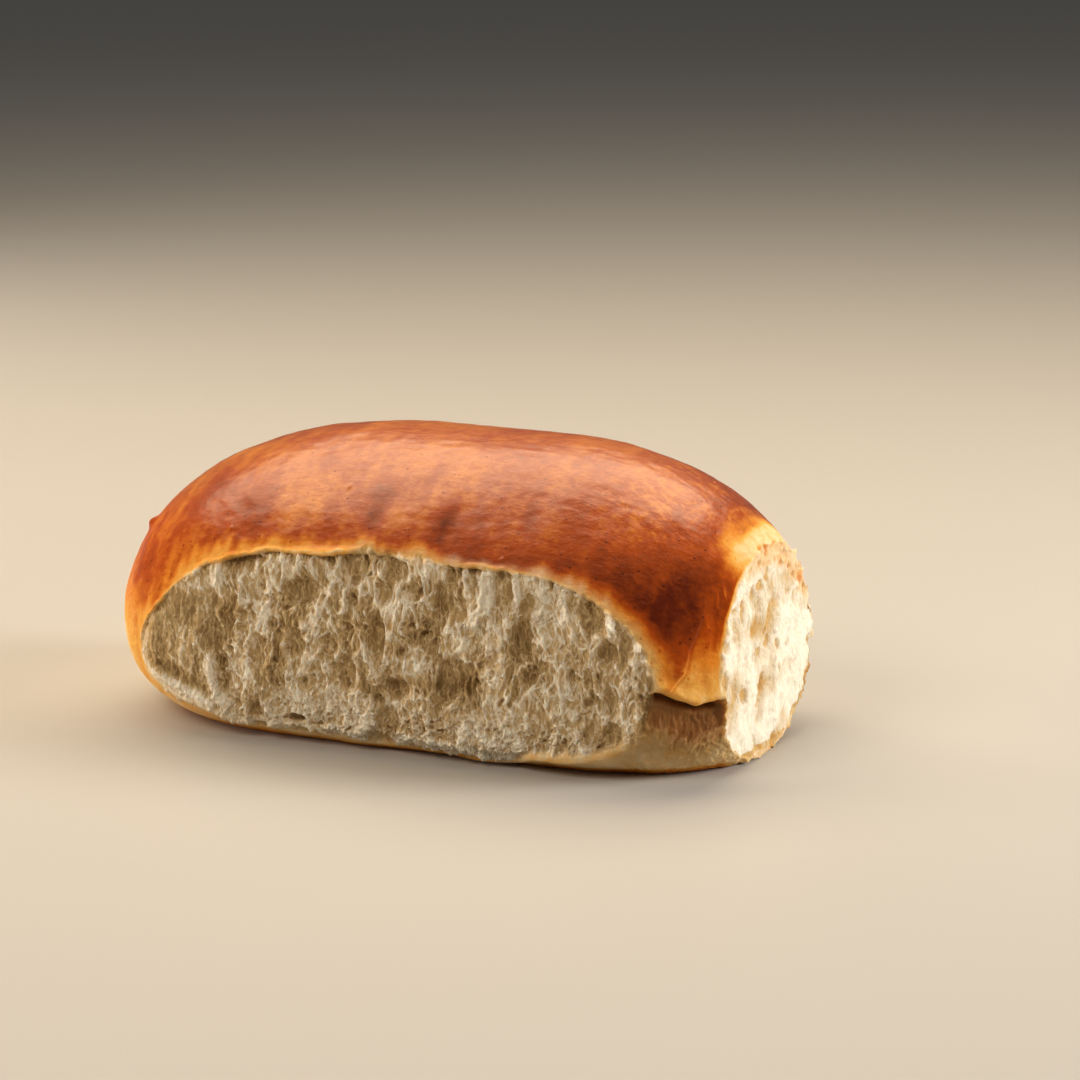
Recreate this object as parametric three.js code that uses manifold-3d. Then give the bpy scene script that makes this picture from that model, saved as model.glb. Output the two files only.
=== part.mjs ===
// Soft milk bread roll: baked in a row against its neighbours, then pulled free.
// Lengths are in millimetres. X runs along the roll toward its torn end, -Y and +Y
// are the two torn long sides, Z is up, and the roll stands on the plane Z = 0.
import * as THREE from "three";
import { mergeVertices } from "three/addons/utils/BufferGeometryUtils.js";
import Module from "manifold-3d";

// Overall size of the finished roll.
const LENGTH = 130;
const WIDTH = 64;
const HEIGHT = 57;

// The risen dough before it is torn, measured from its fattest section.
const ROUND_END_REACH = 75.5;
const TORN_END_REACH = 62.5;
const DOUGH_HALF_WIDTH = 38.5;

// The widest line of the dough runs this far above the base.
const BELT_HEIGHT = 19;

// Depth of the underside below the widest line; the tray flattens all but its edge.
const UNDERSIDE_DEPTH = 23.5;

// How full the outline is: 2 is an ellipse, larger numbers are squarer.
const PLAN_FULLNESS_ROUND_END = 4.5;
const PLAN_FULLNESS_TORN_END = 3.5;
const CROWN_FULLNESS_ROUND_END = 3.0;
const CROWN_FULLNESS_TORN_END = 2.7;
const UNDERSIDE_FULLNESS_ROUND_END = 6.0;
const UNDERSIDE_FULLNESS_TORN_END = 7.5;
const SECTION_FULLNESS_SIDEWAYS = 2.0;
const SECTION_FULLNESS_UPWARD = 1.8;
const SECTION_FULLNESS_DOWNWARD = 2.6;

// Facets around the section and along the length.
const FACETS_AROUND = 60;
const FACETS_ALONG = 44;

// Box that stands for everything beyond a tear or below the tray.
const CUTTER_SIZE = 280;

// The fattest section lies off the middle, so the finished roll is centred on X = 0.
const FATTEST_SECTION_X = ROUND_END_REACH - LENGTH / 2;
const CROWN_RISE = HEIGHT - BELT_HEIGHT;

const wasm = await Module();
wasm.setup();

// Raises a signed cosine or sine to a power and keeps its sign.
function signedPower(value, power) {
  return Math.sign(value) * Math.abs(value) ** power;
}

// Size of a section, as a share of the fattest one, at a share of the way to the end.
function taper(share, fullness) {
  return Math.sqrt(Math.max(0, 1 - share ** fullness));
}

// A sphere whose rings become the cross-sections of the dough, end to end.
function doughGeometry() {
  const sphere = new THREE.SphereGeometry(1, FACETS_AROUND, FACETS_ALONG);
  sphere.rotateZ(-Math.PI / 2);
  const corners = sphere.attributes.position;
  for (let i = 0; i < corners.count; i += 1) {
    const along = corners.getX(i);
    const towardTorn = along > 0;
    const share = Math.min(1, Math.abs(along) ** 0.7);
    const around = Math.atan2(corners.getZ(i), corners.getY(i));
    const upper = Math.sin(around) >= 0;

    const reach = towardTorn ? TORN_END_REACH : ROUND_END_REACH;
    const planFullness = towardTorn ? PLAN_FULLNESS_TORN_END : PLAN_FULLNESS_ROUND_END;
    const crownFullness = towardTorn ? CROWN_FULLNESS_TORN_END : CROWN_FULLNESS_ROUND_END;
    const baseFullness = towardTorn ? UNDERSIDE_FULLNESS_TORN_END : UNDERSIDE_FULLNESS_ROUND_END;

    const halfWidth = DOUGH_HALF_WIDTH * taper(share, planFullness);
    const rise = CROWN_RISE * taper(share, crownFullness);
    const drop = UNDERSIDE_DEPTH * taper(share, baseFullness);
    const vertical = upper ? rise : drop;
    const verticalPower = 2 / (upper ? SECTION_FULLNESS_UPWARD : SECTION_FULLNESS_DOWNWARD);
    const sidewaysPower = 2 / SECTION_FULLNESS_SIDEWAYS;

    corners.setXYZ(
      i,
      FATTEST_SECTION_X + (towardTorn ? reach : -reach) * share,
      halfWidth * signedPower(Math.cos(around), sidewaysPower),
      BELT_HEIGHT + vertical * signedPower(Math.sin(around), verticalPower),
    );
  }
  return sphere;
}

// Turns a three.js shape into a solid that can be cut.
function solidFrom(geometry) {
  const bare = geometry.clone();
  bare.deleteAttribute("normal");
  bare.deleteAttribute("uv");
  const merged = mergeVertices(bare, 1e-4);
  const mesh = new wasm.Mesh({
    numProp: 3,
    vertProperties: new Float32Array(merged.attributes.position.array),
    triVerts: new Uint32Array(merged.index.array),
  });
  return new wasm.Manifold(mesh);
}

// Turns a cut solid back into a three.js shape.
function geometryFrom(solid) {
  const mesh = solid.getMesh();
  const geometry = new THREE.BufferGeometry();
  geometry.setAttribute("position", new THREE.BufferAttribute(mesh.vertProperties, 3));
  geometry.setIndex(new THREE.BufferAttribute(mesh.triVerts, 1));
  geometry.computeVertexNormals();
  return geometry;
}

// A large box whose near face lies at the given distance along one axis.
function everythingBeyond(axis, distance) {
  const box = new THREE.BoxGeometry(CUTTER_SIZE, CUTTER_SIZE, CUTTER_SIZE);
  const centre = axis.clone().multiplyScalar(distance + CUTTER_SIZE / 2);
  box.translate(centre.x, centre.y, centre.z);
  return solidFrom(box);
}

const belowTray = everythingBeyond(new THREE.Vector3(0, 0, -1), 0);
const frontNeighbour = everythingBeyond(new THREE.Vector3(0, -1, 0), WIDTH / 2);
const backNeighbour = everythingBeyond(new THREE.Vector3(0, 1, 0), WIDTH / 2);
const endNeighbour = everythingBeyond(new THREE.Vector3(1, 0, 0), LENGTH / 2);

const roll = solidFrom(doughGeometry())
  .subtract(belowTray)
  .subtract(frontNeighbour)
  .subtract(backNeighbour)
  .subtract(endNeighbour);

const bakedBread = new THREE.MeshStandardMaterial({
  color: 0xc47a3a,
  roughness: 0.55,
  metalness: 0,
});

const breadRoll = new THREE.Mesh(geometryFrom(roll), bakedBread);
breadRoll.name = "bread_roll";

const part = new THREE.Group();
part.name = "milk_bread_roll";
part.add(breadRoll);

export default part;
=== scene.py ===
"""A soft milk bread roll, pulled off its row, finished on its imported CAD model.

The roll is one closed skin of fine facets. It follows the same dough formula as the CAD
solid, and then gets its glazed crust, its torn crumb and its soft pale folds as relief.
Lengths in this script are millimetres until a mesh, lamp or camera is made from them.
"""

import math
from types import SimpleNamespace

import bpy
import numpy as np
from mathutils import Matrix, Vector
from mathutils.kdtree import KDTree


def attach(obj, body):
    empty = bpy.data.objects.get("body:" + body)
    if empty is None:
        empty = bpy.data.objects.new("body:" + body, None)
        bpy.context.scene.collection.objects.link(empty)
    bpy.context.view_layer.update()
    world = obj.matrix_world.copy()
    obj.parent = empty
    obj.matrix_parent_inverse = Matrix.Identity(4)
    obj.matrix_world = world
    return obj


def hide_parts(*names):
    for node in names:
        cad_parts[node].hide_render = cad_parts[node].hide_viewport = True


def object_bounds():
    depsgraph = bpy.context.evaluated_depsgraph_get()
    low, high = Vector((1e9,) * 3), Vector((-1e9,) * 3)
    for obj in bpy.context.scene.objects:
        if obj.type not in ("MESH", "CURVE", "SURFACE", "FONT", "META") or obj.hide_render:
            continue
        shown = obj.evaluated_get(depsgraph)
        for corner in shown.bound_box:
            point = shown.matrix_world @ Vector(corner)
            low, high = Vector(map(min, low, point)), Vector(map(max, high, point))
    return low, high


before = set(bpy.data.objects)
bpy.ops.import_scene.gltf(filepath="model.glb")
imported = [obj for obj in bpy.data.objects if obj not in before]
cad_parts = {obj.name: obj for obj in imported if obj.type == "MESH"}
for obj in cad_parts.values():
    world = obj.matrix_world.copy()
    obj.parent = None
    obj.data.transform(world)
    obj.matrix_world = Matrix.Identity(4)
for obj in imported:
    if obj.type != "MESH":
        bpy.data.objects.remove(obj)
cad_low, cad_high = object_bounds()

MM = 0.001
SEED = 41

# Overall size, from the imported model.
TORN_END = cad_high.x / MM
HALF_WIDTH = cad_high.y / MM
HEIGHT = cad_high.z / MM

# The risen dough, by the same formula as the CAD solid.
ROUND_END_REACH = 75.5
TORN_END_REACH = 62.5
DOUGH_HALF_WIDTH = 38.5
BELT_HEIGHT = 19.0
UNDERSIDE_DEPTH = 23.5
PLAN_FULLNESS = (4.5, 3.5)
CROWN_FULLNESS = (3.0, 2.7)
UNDERSIDE_FULLNESS = (6.0, 7.5)
SECTION_FULLNESS_SIDEWAYS = 2.0
SECTION_FULLNESS_UPWARD = 1.8
SECTION_FULLNESS_DOWNWARD = 2.6
FATTEST_SECTION = cad_low.x / MM + ROUND_END_REACH
CROWN_RISE = HEIGHT - BELT_HEIGHT

# Facet size along the tears, and facets round the roll. The crust, the base and the round end
# are smoother than torn crumb, and take these shares of its facets.
FACET = 0.2
FACETS_AROUND = 620
CRUST_SHARE = 0.4
TRAY_SHARE = 0.3
ROUND_END_SHARE = 0.5

# The torn end's crumb is gathered on this height as its rings close.
END_CENTRE_HEIGHT = 22.0


# ---------------------------------------------------------------- noise

def random_shares(cells, seed):
    """Repeatable numbers from 0 to 1, one for each whole-number cell of space."""
    x, y, z = (cells[:, k].astype(np.int64).astype(np.uint32) for k in range(3))
    mixed = x * np.uint32(0x9E3779B1) ^ y * np.uint32(0x85EBCA6B) ^ z * np.uint32(0xC2B2AE35)
    mixed = mixed + np.uint32(seed * 7919 % 4294967296)
    mixed = (mixed ^ (mixed >> 15)) * np.uint32(0x2C1B3C6D)
    mixed = (mixed ^ (mixed >> 12)) * np.uint32(0x297A2D39)
    mixed = mixed ^ (mixed >> 15)
    return mixed / 4294967296.0


def random_vectors(cells, seed):
    """Three repeatable numbers from 0 to 1 for each cell of space."""
    return np.stack([random_shares(cells, seed + 101 * k) for k in range(3)], axis=1)


def swell(points, wavelength, seed):
    """Smooth rises and dips of about -1 to 1, one wavelength apart."""
    scaled = points / wavelength
    cell = np.floor(scaled)
    inside = scaled - cell
    ease = inside ** 3 * (inside * (inside * 6 - 15) + 10)
    total = np.zeros(len(points))
    for corner in np.ndindex(2, 2, 2):
        corner = np.array(corner)
        slope = random_vectors(cell + corner, seed) * 2 - 1
        weight = np.where(corner == 1, ease, 1 - ease).prod(axis=1)
        total += weight * (slope * (inside - corner)).sum(axis=1)
    return total * 1.7


def rough_swell(points, wavelength, seed, octaves=3, fade=0.5):
    """Swells with finer ones on top, each half as wide as the last."""
    total = np.zeros(len(points))
    for octave in range(octaves):
        total += fade ** octave * swell(points, wavelength / 2 ** octave, seed + octave)
    return total


def bubble_gaps(points, size, seed):
    """Distances to the nearest bubble's centre, and on to the next one, in bubble sizes."""
    scaled = points / size
    cell = np.floor(scaled)
    nearest = np.full(len(points), 9.0)
    second = np.full(len(points), 9.0)
    for step in np.ndindex(3, 3, 3):
        neighbour = cell + np.array(step) - 1
        centre = neighbour + 0.1 + 0.8 * random_vectors(neighbour, seed)
        away = np.sqrt(((scaled - centre) ** 2).sum(axis=1))
        second = np.minimum(second, np.maximum(nearest, away))
        nearest = np.minimum(nearest, away)
    return nearest, second - nearest


def smooth_step(value, start, end):
    """0 before start, 1 after end, and an eased rise between them."""
    share = np.clip((value - start) / (end - start), 0.0, 1.0)
    return share * share * (3 - 2 * share)


def bump(value, centre, spread):
    """A soft hump of height 1 at centre."""
    return np.exp(-((value - centre) / spread) ** 2)


# ---------------------------------------------------------------- dough shape

def taper(share, fullness):
    """Size of a section, as a share of the fattest one, at a share of the way to the end."""
    return np.sqrt(np.clip(1 - np.clip(share, 0, 1) ** fullness, 1e-9, None))


def section_at(x):
    """Half width, rise over the belt and drop below it of the dough at a station."""
    run = x - FATTEST_SECTION
    side = (run > 0).astype(int)
    share = np.abs(run) / np.where(side, TORN_END_REACH, ROUND_END_REACH)
    half_width = DOUGH_HALF_WIDTH * taper(share, np.take(PLAN_FULLNESS, side))
    rise = CROWN_RISE * taper(share, np.take(CROWN_FULLNESS, side))
    drop = UNDERSIDE_DEPTH * taper(share, np.take(UNDERSIDE_FULLNESS, side))
    return half_width, rise, drop


def fill_at(x, y, z):
    """1 on the uncut dough's skin, less inside it and more outside."""
    half_width, rise, drop = section_at(x)
    above = z > BELT_HEIGHT
    tall = np.where(above, rise, drop)
    fullness = np.where(above, SECTION_FULLNESS_UPWARD, SECTION_FULLNESS_DOWNWARD)
    sideways = (np.abs(y) / half_width) ** SECTION_FULLNESS_SIDEWAYS
    return sideways + (np.abs(z - BELT_HEIGHT) / tall) ** fullness


def reach_to_skin(centre, directions, furthest=120.0):
    """How far each direction runs from the centre before it leaves the dough."""
    near = np.zeros(len(directions))
    far = np.full(len(directions), furthest)
    for _ in range(30):
        middle = (near + far) / 2
        spot = centre + directions * middle[:, None]
        inside = fill_at(spot[:, 0], spot[:, 1], spot[:, 2]) < 1
        near = np.where(inside, middle, near)
        far = np.where(inside, far, middle)
    return near


def even_steps(steps, count):
    """Indices into a path, spread evenly over the sum of its steps."""
    run = np.cumsum(steps)
    return np.interp(np.linspace(0, run[-1], count), run, np.arange(len(run)))


def ring_stations():
    """Where each ring lies along the roll, and how far it has closed over the torn end."""
    to_fattest = np.linspace(0, 1, 3000) ** 2
    from_tip = FATTEST_SECTION - ROUND_END_REACH * (1 - to_fattest)
    to_tear = np.linspace(FATTEST_SECTION, TORN_END, 2000)
    closing_steps = 1000
    x = np.concatenate([from_tip, to_tear, np.full(closing_steps, TORN_END)])
    half_width, rise, drop = section_at(x)
    radius = (np.minimum(half_width, HALF_WIDTH) + (rise + drop) / 2) / 2
    closing = np.ones(len(x))
    closing[-closing_steps:] = np.linspace(1, 0, closing_steps)
    radius = radius * closing
    steps = np.hypot(np.diff(x, prepend=x[0]), np.diff(radius, prepend=radius[0]))
    tear_start = -0.8 * TORN_END
    steps *= np.interp(x, (tear_start - 6, tear_start), (ROUND_END_SHARE, 1.0))
    index = even_steps(steps, int(steps.sum() / FACET))[1:-1]
    return np.interp(index, np.arange(len(x)), x), np.interp(index, np.arange(len(x)), closing)


def ring_angles():
    """Angles round the belt's centre line that put most facets on the torn sides."""
    angle = np.linspace(-math.pi, math.pi, 4001)
    ring = cut_ring(FATTEST_SECTION, angle)
    steps = np.hypot(*np.diff(ring, axis=0, prepend=ring[:1]).T)
    weight = np.where(np.abs(ring[:, 0]) > HALF_WIDTH - 2.5, 1.0, CRUST_SHARE)
    weight = np.where(ring[:, 1] < 0.5, TRAY_SHARE, weight)
    kernel = np.ones(81) / 81
    weight = np.convolve(np.pad(weight, 40, mode="edge"), kernel, mode="valid")
    index = even_steps(steps * weight, FACETS_AROUND + 1)[:-1]
    return np.interp(index, np.arange(len(angle)), angle)


def cut_ring(x, angle):
    """The roll's section at a station, after the tears and the tray have cut it."""
    across = np.cos(angle)
    upward = np.sin(angle)
    directions = np.stack([np.zeros_like(angle), across, upward], axis=1)
    reach = reach_to_skin(np.array([x, 0.0, BELT_HEIGHT]), directions)
    reach = np.minimum(reach, HALF_WIDTH / np.maximum(np.abs(across), 1e-9))
    reach = np.minimum(reach, np.where(upward < 0, BELT_HEIGHT / np.maximum(-upward, 1e-9), 999))
    return np.stack([across * reach, BELT_HEIGHT + upward * reach], axis=1)


def bare_roll():
    """The cut dough as rings of points: ring, place round it, and x, y, z."""
    stations, closing = ring_stations()
    angle = ring_angles()
    rings = np.empty((len(stations), len(angle), 3))
    for i, (x, open_share) in enumerate(zip(stations, closing)):
        outline = cut_ring(min(x, TORN_END - 1e-6), angle)
        centre = np.array([0.0, END_CENTRE_HEIGHT])
        rings[i, :, 0] = x
        rings[i, :, 1:] = centre * (1 - open_share) + outline * open_share
    return rings


def outward(rings, passes):
    """Unit directions out of the skin, softened over a few facets."""
    along = np.gradient(rings, axis=0)
    ahead = np.roll(rings, -1, axis=1)
    behind = np.roll(rings, 1, axis=1)
    normal = np.cross(ahead - behind, along)
    normal /= np.linalg.norm(normal, axis=2, keepdims=True) + 1e-12
    for _ in range(passes):
        normal = blurred(normal)
        normal /= np.linalg.norm(normal, axis=2, keepdims=True) + 1e-12
    return normal


def blurred(field):
    """A field on the rings, averaged with its four neighbours."""
    before = np.concatenate([field[:1], field[:-1]])
    after = np.concatenate([field[1:], field[-1:]])
    around = np.roll(field, 1, axis=1) + np.roll(field, -1, axis=1)
    return (2 * field + before + after + around) / 6


# ---------------------------------------------------------------- tears

def side_outline():
    """The rim of a torn long side, square on: angle round its centre, and reach."""
    angle = np.linspace(-math.pi, math.pi, 721)
    low = np.zeros(len(angle))
    high = np.full(len(angle), 90.0)
    for _ in range(30):
        reach = (low + high) / 2
        x = FATTEST_SECTION + np.cos(angle) * reach
        z = BELT_HEIGHT + np.sin(angle) * reach
        inside = fill_at(x, HALF_WIDTH, z) < 1
        low = np.where(inside, reach, low)
        high = np.where(inside, high, reach)
    # The tear runs on, down the rounded underside and round the lower round end.
    bearing = np.degrees(angle) % 360
    under = smooth_step(bearing, 195.0, 215.0) * smooth_step(bearing, 328.0, 312.0)
    round_end = smooth_step(bearing, 172.0, 186.0) * smooth_step(bearing, 214.0, 200.0)
    return angle, low + 2.6 * under + 4.0 * round_end


def end_outline():
    """The rim of the torn end in its own plane: angle round its centre, and reach."""
    angle = np.linspace(-math.pi, math.pi, 721)
    ring = cut_ring(TORN_END - 1e-6, angle)
    return angle, np.hypot(ring[:, 0], ring[:, 1] - BELT_HEIGHT)


def distance_to(rim, points):
    """Distance from each point to the nearest point of a rim."""
    tree = KDTree(len(rim))
    for i, spot in enumerate(rim.tolist()):
        tree.insert(spot, i)
    tree.balance()
    return np.array([tree.find(spot)[2] for spot in points.tolist()])


def side_inset(points):
    """Distance in from the rim of the torn side that a point faces; outside is negative."""
    angle, reach = side_outline()
    rim_x = FATTEST_SECTION + np.cos(angle) * reach
    rim_z = BELT_HEIGHT + np.sin(angle) * reach
    half_width, _, drop = section_at(rim_x)
    under = np.clip((BELT_HEIGHT - rim_z) / drop, 0, 1) ** SECTION_FULLNESS_DOWNWARD
    rim_y = np.minimum(half_width * np.sqrt(np.maximum(1 - under, 0.3)), HALF_WIDTH)
    rim = np.stack([rim_x, rim_y, rim_z], axis=1)
    mirrored = points * [1, 0, 1] + np.abs(points) * [0, 1, 0]
    away = distance_to(rim, mirrored)
    run = points[:, 0] - FATTEST_SECTION
    rise = points[:, 2] - BELT_HEIGHT
    inside = np.hypot(run, rise) < np.interp(np.arctan2(rise, run), angle, reach)
    inside &= np.abs(points[:, 1]) > np.where(rise > 4.0, HALF_WIDTH - 1.5, 0.65 * HALF_WIDTH)
    return np.where(inside, away, -away)


def end_inset(points):
    """Distance in from the rim of the torn end; outside is negative."""
    angle, reach = end_outline()
    rim_y = np.cos(angle) * reach
    rim_z = BELT_HEIGHT + np.sin(angle) * reach
    rim = np.stack([np.full(len(angle), TORN_END), rim_y, rim_z], axis=1)
    away = distance_to(rim, points)
    inside = points[:, 0] > TORN_END - 1e-3
    return np.where(inside, away, -away)


# ---------------------------------------------------------------- relief

def strands(points, width, seed, layers=2, sharpness=4.0):
    """Branching ridges that torn bubble walls leave: 1 on a ridge and 0 in the gaps."""
    total = np.zeros(len(points))
    carried = np.ones(len(points))
    strength = 1.0
    for layer in range(layers):
        across = swell(points, width / 1.9 ** layer, seed + 7 * layer)
        ridge = smooth_step(sharpness * np.abs(across), 1.0, 0.0)
        total += strength * ridge * carried
        carried = 0.3 + 0.7 * ridge
        strength *= 0.6
    return total / 1.4


def wandering(points, reach, wavelength, seed):
    """Points pushed sideways by slow noise, so that patterns on them bend and curl."""
    push = np.stack([swell(points, wavelength, seed + k) for k in range(3)], axis=1)
    return points + reach * push


def leaning(points, degrees):
    """Points turned about the y axis, so that patterns on them lean along the roll."""
    turn = math.radians(degrees)
    x, y, z = points.T
    along = x * math.cos(turn) + z * math.sin(turn)
    upward = z * math.cos(turn) - x * math.sin(turn)
    return np.stack([along, y, upward], axis=1)


def feathers(points, width, upright, seed):
    """Fine torn fibres in patches that lean one way and another: 1 on a fibre, 0 between."""
    total = np.zeros(len(points))
    for k, lean in enumerate((-28.0, -6.0, 22.0)):
        patch = smooth_step(swell(points, 3.5, seed + 40 + k), -0.35, 0.25)
        laid = leaning(points, lean) * [1.0, 1.0, upright]
        total = np.maximum(total, patch * strands(laid, width, seed + 11 * k, layers=1, sharpness=4.0))
    return total * 1.4


def crumb_web(points, upright, seed):
    """Torn crumb: feathery strands between open bubbles. Relief in mm, and colour shading: painted shade in
    the holes, painted light on the strands, and uneven tone.
    """
    bent = wandering(points, 1.2, 8.0, seed)
    bent = wandering(bent, 0.5, 2.2, seed + 10)
    folds = strands(bent * [1.0, 1.0, 0.6 * upright], 4.6, seed + 20, sharpness=2.8)
    web = strands(bent * [1.0, 1.0, upright], 2.1, seed + 30, sharpness=4.5)
    fibres = feathers(bent, 1.0, 0.35 * upright, seed + 200)
    _, gap = bubble_gaps(bent * [1.0, 1.0, upright], 2.0, seed + 50)
    patchy = smooth_step(swell(points, 5.0, seed + 60), -0.2, 0.5)
    hole = smooth_step(gap, 0.15, 0.55) * patchy
    broad = swell(points * [1.0, 1.0, 0.6], 5.5, seed + 65)
    relief = 0.6 * folds + 0.55 * web + 0.4 * fibres - 0.9 * hole - 0.5
    crumb_tone_and_shading = 0.74 - 0.22 * folds - 0.35 * web - 0.4 * fibres - 0.3 * broad + 0.25 * hole
    return relief, crumb_tone_and_shading


# Hollows left in the front tear: along, up, half width, half height.
FRONT_HOLLOWS = (
    (-15.3, 30.5, 3.6, 2.6),
    (0.0, 23.0, 2.0, 4.6),
    (4.0, 13.5, 3.0, 2.2),
    (29.0, 25.5, 1.9, 4.4),
    (46.5, 25.0, 2.0, 2.4),
    (13.0, 31.0, 2.0, 4.0),
    (4.5, 36.0, 1.6, 2.4),
    (-17.5, 5.6, 2.0, 0.8),
    (44.8, 6.6, 1.3, 0.8),
)


def front_hollows(x, z):
    """1 in the middle of each named hollow and 0 outside all of them."""
    share = np.zeros(len(x))
    for across, upward, half_width, half_height in FRONT_HOLLOWS:
        away = np.hypot((x - across) / half_width, (z - upward) / half_height)
        share = np.maximum(share, smooth_step(away, 1.35, 0.45))
    return share


def front_ledges(x, z):
    """Two crests low in the front tear, each over a recess: height in mm, and shading, with painted light on
    each crest and painted shade in its recess.
    """
    crescent = x - np.interp(z, (6.9, 11.6, 16.3), (-32.8, -34.6, -34.9))
    upright = smooth_step(z, 5.5, 8.0) * smooth_step(z, 18.5, 15.5)
    step = z - (12.0 - 0.42 * (x + 48.0))
    level = smooth_step(x, -50.0, -47.0) * smooth_step(x, -34.0, -37.0)
    height = upright * (1.2 * bump(crescent, 0.0, 0.9) - 1.0 * bump(crescent, 2.8, 2.0))
    height += level * (0.8 * bump(step, 0.0, 1.3) - 0.35 * bump(step, 2.6, 2.0))
    pale = np.maximum(upright * bump(crescent, 0.0, 0.9), level * bump(step, -0.2, 1.3))
    deep = np.maximum(upright * bump(crescent, 2.6, 1.6), level * bump(step, 2.3, 1.2))
    return height, 0.2 * deep - 0.6 * pale


def side_crumb(points, seed):
    """Relief of a torn long side, and its crumb colour's uneven tone and painted shading."""
    x, y, z = points.T
    relief, crumb_tone_and_shading = crumb_web(points, 0.45, seed)
    # Near the tray the crumb was pressed, so its bubbles are open and round.
    open_relief, open_tone_and_shading = crumb_web(points * 1.3, 0.95, seed + 500)
    low = smooth_step(z + 1.5 * swell(points, 6.0, seed + 61), 13.0, 7.0)
    relief = relief * (1 - low) + 0.9 * open_relief * low
    # Low down, the crumb is also painted a little lighter, as painted light.
    crumb_tone_and_shading = crumb_tone_and_shading * (1 - low) + (0.9 * open_tone_and_shading - 0.12) * low
    # Sheets hang down from under the crust, and are painted paler, as painted light.
    pulled = points * [1.0, 0.5, 0.13] + 0.5 * swell(points, 6.0, seed + 62)[:, None]
    draped = strands(pulled, 3.6, seed + 63, sharpness=2.2)
    high = smooth_step(z + 2.0 * swell(points, 5.0, seed + 64), 25.0, 33.0)
    relief += high * (draped - 0.4)
    crumb_tone_and_shading -= high * (0.5 * draped - 0.05)
    # The round end's side of the tear stretched into a smoother sheet.
    sheet = smooth_step(x + 2.0 * swell(points, 7.0, seed + 65), -29.0, -43.0)
    relief *= 1 - 0.65 * sheet
    crumb_tone_and_shading = crumb_tone_and_shading * (1 - 0.5 * sheet) + 0.42 * sheet
    # Bubbles that burst here and there leave smooth hollows, painted darker as painted shade.
    nearest, _ = bubble_gaps(wandering(points, 1.0, 5.0, seed + 66) * [1.0, 0.6, 0.6], 7.5, seed + 67)
    cave = smooth_step(nearest, 0.4, 0.2) * (1 - sheet)
    cave = np.where(y < 0, np.maximum(0.8 * cave, front_hollows(x, z)), 0.6 * cave)
    relief = relief * (1 - 0.7 * cave) - 2.0 * cave
    crumb_tone_and_shading = crumb_tone_and_shading * (1 - 0.7 * cave) + 0.65 * cave
    ledge, ledge_shading = front_ledges(x, z)
    relief += np.where(y < 0, ledge, 0)
    crumb_tone_and_shading += np.where(y < 0, ledge_shading, 0)
    relief += 0.9 * swell(points, 14.0, seed + 70) + 0.5 * swell(points, 6.0, seed + 71)
    return relief, crumb_tone_and_shading


def end_crumb(points, seed):
    """Relief of the torn end, soft mounds with a few open pits, and its crumb colour's tone and shading:
    painted shade in the pits, painted light on the mounds.
    """
    fine, fine_tone_and_shading = crumb_web(points * 1.2, 0.8, seed)
    bent = wandering(points, 1.5, 5.0, seed + 80)
    nearest, _ = bubble_gaps(bent * [1.0, 0.9, 0.75], 4.2, seed + 81)
    pit = smooth_step(nearest, 0.42, 0.2) * smooth_step(swell(points, 7.0, seed + 82), -0.25, 0.3)
    mounds = 1.1 * swell(points, 9.0, seed + 70) + 0.8 * swell(points, 3.8, seed + 71)
    relief = 0.7 * mounds + 0.2 * fine - 0.6 * pit + 0.2 * swell(points, 1.8, seed + 72)
    patches = 0.2 * swell(points, 4.5, seed + 83) + 0.35 * swell(points, 10.0, seed + 84)
    crumb_tone_and_shading = 0.2 * fine_tone_and_shading + 0.45 * pit - 0.15 * mounds + patches - 0.08
    return relief, crumb_tone_and_shading


# Where a gas blister stands off the round end: across, up.
ROUND_END_BLISTER = (-12.0, 35.5)


def crust_relief(points, seed):
    """The baked skin: slow swells and fine wrinkles that run along the roll, in mm."""
    relief = 0.4 * swell(points, 26.0, seed) + 0.16 * swell(points, 9.0, seed + 1)
    wrinkles = swell(points * [0.4, 1.0, 1.0], 1.7, seed + 2)
    wrinkles += 0.5 * swell(points * [0.5, 1.0, 1.0], 0.9, seed + 5)
    relief += 0.05 * swell(points, 4.0, seed + 3) + 0.06 * wrinkles
    # Small gas blisters that rose under the skin, and one larger one on the round end.
    nearest, _ = bubble_gaps(points, 9.0, seed + 4)
    relief += 0.18 * smooth_step(nearest, 0.08, 0.03)
    away = np.hypot(points[:, 1] - ROUND_END_BLISTER[0], points[:, 2] - ROUND_END_BLISTER[1])
    return relief + 0.9 * bump(away, 0.0, 1.1) * (points[:, 0] < -50)


# Larger browned blisters in the torn end: across, up, half width.
END_BLISTERS = (
    (17.0, 29.6, 1.7),
    (-12.7, 32.4, 1.2),
)

# Soft upright dents in the front shoulder of the crust, painted darker as painted shade: along, up, half
# width, depth.
SHOULDER_DENTS = (
    (-29.5, 44.5, 3.4, 0.04),
    (-2.6, 45.0, 2.0, 0.08),
    (11.8, 44.5, 2.2, 0.08),
    (27.6, 45.5, 2.2, 0.06),
)


def shoulder_dents(points):
    """How much painted shade each soft dent gets, from 0 to 1, after how deep the skin lies in it, and its
    depth in mm.
    """
    x, y, z = points.T
    shade = np.zeros(len(points))
    depth = np.zeros(len(points))
    for along, upward, half_width, deep in SHOULDER_DENTS:
        lean = along + 0.25 * (z - upward)
        share = bump(x, lean, half_width) * bump(z, upward, 3.6) * (y < 0)
        shade = np.maximum(shade, share * deep / 0.08)
        depth -= deep * share
    return shade, depth


# ---------------------------------------------------------------- corner of the two tears

def corner_run(points):
    """Distance along the skin round the corner between a torn side and the torn end."""
    return points[:, 0] + HALF_WIDTH - np.abs(points[:, 1])


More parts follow.
